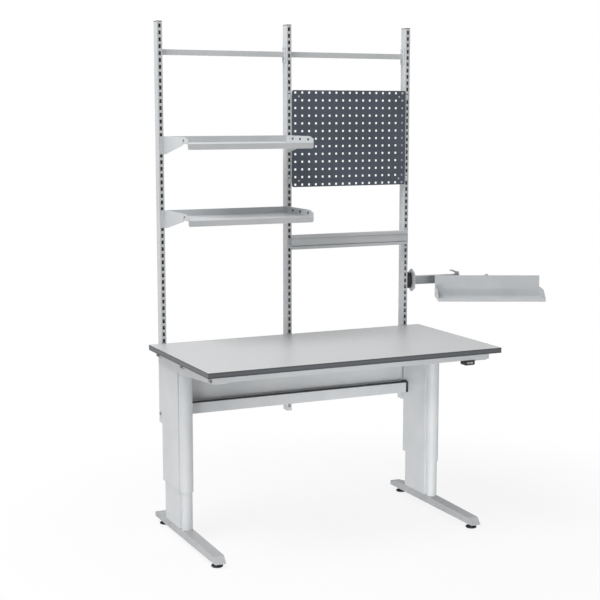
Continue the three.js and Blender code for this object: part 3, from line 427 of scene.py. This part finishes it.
bend_of_node = {
    "worktop_board": 0.4,
    "worktop_edge_band": 0.5,
    "hand_control": 2.0,
    "arm_clamp": 2.0,
    "elbow_lever": 0.5,
    "inner_arm": 0.8,
    "outer_arm": 1.5,
    "tray_bracket": 0.8,
    "arm_flange": 0.8,
    "side_tray": SHEET_BEND,
    "upper_shelf": SHEET_BEND,
    "lower_shelf": SHEET_BEND,
    "cable_trough": SHEET_BEND,
    "bin_rail": SHEET_BEND,
    "up_button": 1.0,
    "down_button": 1.0,
    "front_rail": 0.9,
    "middle_rail": 0.9,
    "rear_rail": 0.6,
    "left_foot": TUBE_CORNER,
    "right_foot": TUBE_CORNER,
    "left_foot_end_plug": MOULD_BLEND,
    "right_foot_end_plug": MOULD_BLEND,
    "left_support_arm": 1.2,
    "right_support_arm": 1.2,
    "pump_unit": TUBE_CORNER,
    "left_upright_cap": MOULD_BLEND,
    "middle_upright_cap": MOULD_BLEND,
    "right_upright_cap": MOULD_BLEND,
    "left_top_beam": 0.8,
    "right_top_beam": 0.8,
    "left_upright": 0.7,
    "middle_upright": 0.7,
    "right_upright": 0.7,
    "perforated_panel": 0.4,
    "panel_left_bracket": 0.4,
    "panel_right_bracket": 0.4,
    "rear_panel": 0.4,
    "trough_edge_trim": 0.8,
    "left_trough_end_cap": 1.0,
    "right_trough_end_cap": 1.0,
    "arm_barrel": 0.8,
    "arm_pivot_pin": 0.8,
    "tray_knob": 0.6,
}
for side in ("left", "right"):
    bend_of_node[f"{side}_upper_column"] = 0.4
    bend_of_node[f"{side}_lower_column"] = 0.4
    for shelf in ("upper", "lower"):
        bend_of_node[f"{shelf}_shelf_{side}_bracket"] = 0.5
    for end in ("front", "rear"):
        bend_of_node[f"{end}_{side}_levelling_foot"] = 0.6
print("edges chosen for", len(bend_of_node), "nodes")

# %% [markdown]
# Each of these nodes is copied. The copy's loose triangles are merged into whole faces, any
# face with a hollow outline is split so that a bevel can cross it, and the edges are then
# rounded. Faces that the bevel left warped are split again. The normals are weighted by
# area, so that the large faces stay flat up to the start of the bend.

# %% Round the edges of the visible pieces
EDGE_ANGLE = math.radians(35)
SMOOTH_ANGLE = math.radians(50)
FLAT_ANGLE = math.radians(0.5)
WARP_ANGLE = math.radians(5)
SAME_PLACE = 0.01 * MM
BEND_STEPS = 2


def select_only(piece):
    bpy.ops.object.select_all(action="DESELECT")
    piece.select_set(True)
    bpy.context.view_layer.objects.active = piece


def settle(piece, finish, body):
    piece.data.materials.clear()
    piece.data.materials.append(finish)
    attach(piece, body)
    return piece


def rounded_copy(name, bend):
    piece = bpy.data.objects.new(f"{name}_rounded", frame["nodes"][name].data.copy())
    scene.collection.objects.link(piece)
    select_only(piece)
    bpy.ops.object.mode_set(mode="EDIT")
    bpy.ops.mesh.select_all(action="SELECT")
    bpy.ops.mesh.remove_doubles(threshold=SAME_PLACE)
    bpy.ops.mesh.dissolve_limited(angle_limit=FLAT_ANGLE)
    bpy.ops.mesh.select_all(action="SELECT")
    bpy.ops.mesh.vert_connect_concave()
    bpy.ops.object.mode_set(mode="OBJECT")
    bevel = piece.modifiers.new("rounded_edges", "BEVEL")
    bevel.width = bend * MM
    bevel.segments = BEND_STEPS
    bevel.limit_method = "ANGLE"
    bevel.angle_limit = EDGE_ANGLE
    bevel.loop_slide = False
    bpy.ops.object.modifier_apply(modifier=bevel.name)
    bpy.ops.object.mode_set(mode="EDIT")
    bpy.ops.mesh.select_all(action="SELECT")
    bpy.ops.mesh.dissolve_degenerate(threshold=SAME_PLACE / 10)
    bpy.ops.mesh.select_all(action="SELECT")
    bpy.ops.mesh.vert_connect_nonplanar(angle_limit=WARP_ANGLE)
    bpy.ops.object.mode_set(mode="OBJECT")
    bpy.ops.object.shade_smooth_by_angle(angle=SMOOTH_ANGLE)
    level_faces = piece.modifiers.new("level_faces", "WEIGHTED_NORMAL")
    level_faces.keep_sharp = True
    bpy.ops.object.modifier_apply(modifier=level_faces.name)
    settle(piece, finish_for(name), body_of_node[name])
    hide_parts(name)
    return piece


rounded = [rounded_copy(name, bend) for name, bend in bend_of_node.items()]
print("rounded", len(rounded), "pieces,", sum(len(p.data.polygons) for p in rounded), "faces")

# %% [markdown]
# Hexagon-head bolts hold the uprights in their clamps. One bolt is made first: a six-sided prism
# whose top face is drawn in and lifted, which gives the turned chamfer, on a round washer with a
# rolled rim. Every small fastener below starts in the same way, as a short cylinder whose top is
# drawn in by steps, so two helpers do that.

# %% Make one hexagon-head bolt
HEAD_RADIUS = 7.5 * MM
HEAD_HEIGHT = 5 * MM
HEAD_SIDES = 6
WASHER_RADIUS = 9.5 * MM
WASHER_HEIGHT = 1.6 * MM
CHAMFER = 1.2 * MM
ROUND_SIDES = 24
FACES_UP = 0.9


def standing_cylinder(sides, radius, height, base=0):
    bpy.ops.object.select_all(action="DESELECT")
    bpy.ops.mesh.primitive_cylinder_add(
        vertices=sides, radius=radius, depth=height, location=(0, 0, base + height / 2))
    bpy.ops.object.transform_apply(location=True, rotation=True, scale=True)
    return bpy.context.object


def draw_in_top(piece, steps):
    bpy.ops.object.mode_set(mode="EDIT")
    bpy.ops.mesh.select_mode(type="FACE")
    mesh = bmesh.from_edit_mesh(piece.data)
    for face in mesh.faces:
        face.select_set(face.normal.z > FACES_UP)
    bmesh.update_edit_mesh(piece.data)
    for inward, upward in steps:
        bpy.ops.mesh.inset(thickness=inward, depth=upward)
    bpy.ops.object.mode_set(mode="OBJECT")


first_bolt = standing_cylinder(HEAD_SIDES, HEAD_RADIUS, HEAD_HEIGHT, base=WASHER_HEIGHT)
draw_in_top(first_bolt, [(CHAMFER, CHAMFER / 2), (CHAMFER, -CHAMFER / 6)])
washer = standing_cylinder(ROUND_SIDES, WASHER_RADIUS, WASHER_HEIGHT)
draw_in_top(washer, [(CHAMFER / 3, CHAMFER / 6)])
first_bolt.select_set(True)
bpy.context.view_layer.objects.active = first_bolt
bpy.ops.object.join()
bpy.ops.object.shade_smooth_by_angle(angle=EDGE_ANGLE)
print("bolt faces", len(first_bolt.data.polygons))

# %% [markdown]
# Each upright is clamped at the level of the front rail and once more lower down, with a
# bolt from either side. A helper copies a fastener, turns it so that its head points the
# given way, and puts it on the body that it is screwed to.

# %% Copy the bolts to their places
COLUMN_CLAMP_LEVEL = 560 * MM
PANEL_CLAMP_LEVEL = 600 * MM
CLAMP_SIDE = 2.8 * MM
CLAMP_BOLT_BACK = 18 * MM
UP = Vector((0, 0, 1))


def place_copy(original, name, place, way, body, roll=0, finish=zinc_steel, slot="zinc_steel"):
    piece = bpy.data.objects.new(name, original.data.copy())
    scene.collection.objects.link(piece)
    turn = UP.rotation_difference(Vector(way)).to_matrix().to_4x4()
    spin = Matrix.Rotation(math.radians(roll), 4, "Z")
    piece.matrix_world = Matrix.Translation(place) @ turn @ spin
    select_only(piece)
    bpy.ops.object.transform_apply(location=True, rotation=True, scale=True)
    return settle(piece, finish, body)


rail_low, rail_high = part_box("front_rail")
rail_level = (rail_low.z + rail_high.z) / 2
lower_levels = {
    "left": COLUMN_CLAMP_LEVEL,
    "middle": PANEL_CLAMP_LEVEL,
    "right": COLUMN_CLAMP_LEVEL,
}
bolts = []
for side, lower_level in lower_levels.items():
    low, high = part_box(f"{side}_upright")
    y = low.y + CLAMP_BOLT_BACK
    for where, z in (("rail", rail_level), ("lower", lower_level)):
        for hand, x, way in (("a", low.x - CLAMP_SIDE, -1), ("b", high.x + CLAMP_SIDE, 1)):
            name = f"{side}_{where}_clamp_bolt_{hand}"
            bolts.append(place_copy(first_bolt, name, (x, y, z), (way, 0, 0), "bench"))
bpy.data.objects.remove(first_bolt)
print("clamp bolts", len(bolts))

# %% [markdown]
# Low-headed screws hold the sheet parts. The head is a short cylinder whose top is drawn in
# twice to a dome, and a third inset sinks the socket into it. The steps give how far each
# inset goes inward, as a share of the radius, and up, as a share of the height.

# %% Make one low-headed screw
SCREW_RADIUS = 5 * MM
SCREW_HEIGHT = 2.2 * MM
DOME_STEPS = ((0.22, 0.35), (0.28, 0.15))
SOCKET_WALL = 0.03
SOCKET_DEPTH = 1.3 * MM

screw_steps = [(SCREW_RADIUS * inward, SCREW_HEIGHT * upward) for inward, upward in DOME_STEPS]
screw_steps.append((SCREW_RADIUS * SOCKET_WALL, -SOCKET_DEPTH))
first_screw = standing_cylinder(ROUND_SIDES, SCREW_RADIUS, SCREW_HEIGHT / 2)
draw_in_top(first_screw, screw_steps)
bpy.ops.object.shade_smooth_by_angle(angle=EDGE_ANGLE)
print("screw faces", len(first_screw.data.polygons))

# %% [markdown]
# Four screws fix the perforated panel to its brackets, each in the middle of four holes
# near a corner. Eight hold the top beams to the uprights, and eight go through the sides of
# the feet into the columns.

# %% Copy the screws to the panel, the beams and the feet
BEAM_SCREW_OFFSET = 28 * MM
BEAM_PLATE = 3 * MM
HOLE_PITCH = 38 * MM
PANEL_SIDE_MARGIN = 19 * MM
PANEL_END_MARGIN = 12 * MM
FOOT_SCREW_LEVEL = 42 * MM
FOOT_SCREW_INSET = 40 * MM

panel_low, panel_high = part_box("perforated_panel")
panel_columns = {
    "left": panel_low.x + PANEL_SIDE_MARGIN + HOLE_PITCH / 2,
    "right": panel_high.x - PANEL_SIDE_MARGIN - HOLE_PITCH / 2,
}
panel_rows = {
    "top": panel_high.z - PANEL_END_MARGIN - HOLE_PITCH / 2,
    "bottom": panel_low.z + PANEL_END_MARGIN + HOLE_PITCH / 2,
}
screws = []
for column, x in panel_columns.items():
    for row, z in panel_rows.items():
        name = f"panel_screw_{row}_{column}"
        screws.append(place_copy(first_screw, name, (x, panel_low.y, z), (0, -1, 0), "bench"))
for bay in ("left", "right"):
    low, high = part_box(f"{bay}_top_beam")
    middle = (low + high) / 2
    for row, z in (("low", middle.z - BEAM_SCREW_OFFSET), ("high", middle.z + BEAM_SCREW_OFFSET)):
        for hand, x, way in (("a", low.x + BEAM_PLATE, 1), ("b", high.x - BEAM_PLATE, -1)):
            name = f"{bay}_beam_screw_{row}_{hand}"
            screws.append(place_copy(first_screw, name, (x, middle.y, z), (way, 0, 0), "bench"))
for side in ("left", "right"):
    low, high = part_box(f"{side}_lower_column")
    foot_low, foot_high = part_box(f"{side}_foot")
    for end, y in (("front", low.y + FOOT_SCREW_INSET), ("rear", high.y - FOOT_SCREW_INSET)):
        for hand, x, way in (("a", foot_low.x, -1), ("b", foot_high.x, 1)):
            name = f"{side}_foot_screw_{end}_{hand}"
            place = (x, y, FOOT_SCREW_LEVEL)
            screws.append(place_copy(first_screw, name, place, (way, 0, 0), "base"))
bpy.data.objects.remove(first_screw)
print("low-headed screws", len(screws))

# %% [markdown]
# The end rims of the shelves have three short slots each, where a divider can be hooked in.
# The inside of each slot lies in shade, and that shade is painted here: each slot holds a dark
# plastic plug that stands in for it.
# The plug's head is a short cylinder that is stretched along the slot, and its top is drawn
# in and lifted to a low crown.

# %% Put dark plug pieces in the shelf-rim slots as painted shade
SHADE_PLUG_HEIGHT = 11.5 * MM
SHADE_PLUG_LENGTH = 20 * MM
SHADE_PLUG_RISE = 1.2 * MM
RIM_SHEET = 2 * MM
RIM_MIDDLE = 15 * MM
RIM_SLOTS = {"rear": 78 * MM, "middle": 162 * MM, "front": 254 * MM}

first_shade_plug = standing_cylinder(ROUND_SIDES, SHADE_PLUG_HEIGHT / 2, SHADE_PLUG_RISE)
bpy.ops.object.mode_set(mode="EDIT")
bpy.ops.mesh.select_all(action="SELECT")
bpy.ops.transform.resize(value=(1, SHADE_PLUG_LENGTH / SHADE_PLUG_HEIGHT, 1), center_override=(0, 0, 0))
bpy.ops.object.mode_set(mode="OBJECT")
draw_in_top(first_shade_plug, [(SHADE_PLUG_HEIGHT / 6, SHADE_PLUG_RISE / 2)])
bpy.ops.object.shade_smooth_by_angle(angle=EDGE_ANGLE)
# Painted shade: these dark plastic plug pieces stand in for the shade inside the rim slots.
shade_plug_look = {"finish": cap_plastic, "slot": "edge_plastic"}
shade_plugs = []
for level in ("upper", "lower"):
    low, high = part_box(f"{level}_shelf")
    for slot_name, distance in RIM_SLOTS.items():
        for hand, x, way in (("left", low.x + RIM_SHEET, 1), ("right", high.x - RIM_SHEET, -1)):
            name = f"{level}_shelf_{hand}_{slot_name}_plug"
            place = (x, high.y - distance, high.z - RIM_MIDDLE)
            shade_plugs.append(place_copy(first_shade_plug, name, place, (way, 0, 0), "bench", **shade_plug_look))
bpy.data.objects.remove(first_shade_plug)
print("rim plugs", len(shade_plugs))

# %% [markdown]
# The two buttons carry a plain raised arrowhead, one pointing up and one down, moulded in
# black so that a hand can feel which is which. It is a three-sided prism whose top is drawn
# in and lifted to a shallow bevel.

# %% Raise an arrowhead on each button
ARROW_RADIUS = 3 * MM
ARROW_HEIGHT = 0.5 * MM
ARROW_SIDES = 3

first_arrow = standing_cylinder(ARROW_SIDES, ARROW_RADIUS, ARROW_HEIGHT)
draw_in_top(first_arrow, [(ARROW_RADIUS / 8, ARROW_HEIGHT / 2)])
arrow_look = {"finish": black_plastic, "slot": "black_plastic"}
for button, roll in (("up_button", 0), ("down_button", 180)):
    low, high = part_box(button)
    place = ((low.x + high.x) / 2, low.y, (low.z + high.z) / 2)
    place_copy(first_arrow, f"{button}_arrowhead", place, (0, -1, 0), button, roll, **arrow_look)
bpy.data.objects.remove(first_arrow)
print("arrowheads on both buttons")

# %% [markdown]
# The floor is a wide pale sheet. Close to the bench it is a matt surface that keeps a soft
# shadow under the feet. Part of its light is its own, as on a lit white table, and further
# out it fades to the white of the backdrop, so no horizon shows. Only the camera and
# mirrored rays see that glow, so that it puts no extra light on the bench.

# %% Floor
FLOOR_SIZE = 60
FLOOR_DROP = 0.5 * MM
FADE_START = 0.9
FADE_END = 2.2
TABLE_GLOW = 0.85

bpy.ops.object.select_all(action="DESELECT")
bpy.ops.mesh.primitive_plane_add(size=FLOOR_SIZE, location=(0, 0, -FLOOR_DROP))
floor = bpy.context.object
floor.name = "studio_floor"
floor_paint, floor_shader = new_finish(
    "matt_white_floor", {"Base Color": linear("#fbfbfb"), "Roughness": 0.9})
floor_place = add_node(floor_paint, "ShaderNodeTexCoord").outputs["Object"]
from_bench = add_node(
    floor_paint, "ShaderNodeVectorMath", {"operation": "LENGTH"}, {"Vector": floor_place})
fade = add_node(
    floor_paint,
    "ShaderNodeMapRange",
    {
        "interpolation_type": "SMOOTHSTEP",
        "From Min": FADE_START,
        "From Max": FADE_END,
        "To Min": TABLE_GLOW,
        "To Max": 1.0,
    },
    {"Value": from_bench.outputs["Value"]},
)
floor_path = add_node(floor_paint, "ShaderNodeLightPath")
floor_seen = add_node(
    floor_paint,
    "ShaderNodeMath",
    {"operation": "MAXIMUM"},
    {0: floor_path.outputs["Is Camera Ray"], 1: floor_path.outputs["Is Glossy Ray"]},
)
white_share = add_node(
    floor_paint,
    "ShaderNodeMath",
    {"operation": "MULTIPLY"},
    {0: fade.outputs["Result"], 1: floor_seen.outputs["Value"]},
)
glow = add_node(floor_paint, "ShaderNodeEmission", {"Strength": 1.0})
floor_mix = add_node(floor_paint, "ShaderNodeMixShader", links={
    "Fac": white_share.outputs["Value"],
    1: floor_shader.outputs["BSDF"],
    2: glow.outputs["Emission"],
})
floor_output = floor_paint.node_tree.nodes["Material Output"]
connect(floor_paint, floor_output, {"Surface": floor_mix.outputs["Shader"]})
floor.data.materials.append(floor_paint)
print("floor", floor.name)

# %% [markdown]
# An even studio tent surrounds the bench. The camera and mirrored rays see it as plain
# white, and for all other rays it is dimmer, so that it doesn't wash out the shadows.

# %% Studio tent
TENT_STRENGTH = 0.45
WHITE = linear("#ffffff")

world = bpy.data.worlds.new("studio_tent")
scene.world = world
world.use_nodes = True
tent = world.node_tree.nodes["Background"]
tent.inputs["Color"].default_value = WHITE
tent.inputs["Strength"].default_value = TENT_STRENGTH
backdrop = add_node(world, "ShaderNodeBackground", {"Color": WHITE, "Strength": 1.0})
tent_path = add_node(world, "ShaderNodeLightPath")
tent_seen = add_node(
    world,
    "ShaderNodeMath",
    {"operation": "MAXIMUM"},
    {0: tent_path.outputs["Is Camera Ray"], 1: tent_path.outputs["Is Glossy Ray"]},
)
tent_mix = add_node(world, "ShaderNodeMixShader", links={
    "Fac": tent_seen.outputs["Value"],
    1: tent.outputs["Background"],
    2: backdrop.outputs["Background"],
})
connect(world, world.node_tree.nodes["World Output"], {"Surface": tent_mix.outputs["Shader"]})
print("tent strength", TENT_STRENGTH)

# %% [markdown]
# One large soft lamp hangs high on the left, because the left faces and the worktop are the
# brightest. A narrow one stands low in front and reaches under the worktop, so the legs, the
# cable trough and the rear panel stay pale.

# %% Lamps
KEY_LAMP = {
    "place": (-3.7, -0.8, 6.0),
    "aim": (0, 0, 1.1),
    "power": 205,
    "size": 3.0,
    "spread": 180,
}
FILL_LAMP = {
    "place": (-3.1, -4.2, 0.25),
    "aim": (0.15, 0.1, -0.05),
    "power": 6.2,
    "size": 0.9,
    "spread": 26,
}

for lamp in (KEY_LAMP, FILL_LAMP):
    bpy.ops.object.light_add(type="AREA", location=lamp["place"])
    light = bpy.context.object
    light.data.energy = lamp["power"]
    light.data.size = lamp["size"]
    light.data.spread = math.radians(lamp["spread"])
    sight = Vector(lamp["aim"]) - Vector(lamp["place"])
    light.rotation_euler = sight.to_track_quat("-Z", "Y").to_euler()
    print("lamp", lamp["power"], "W")
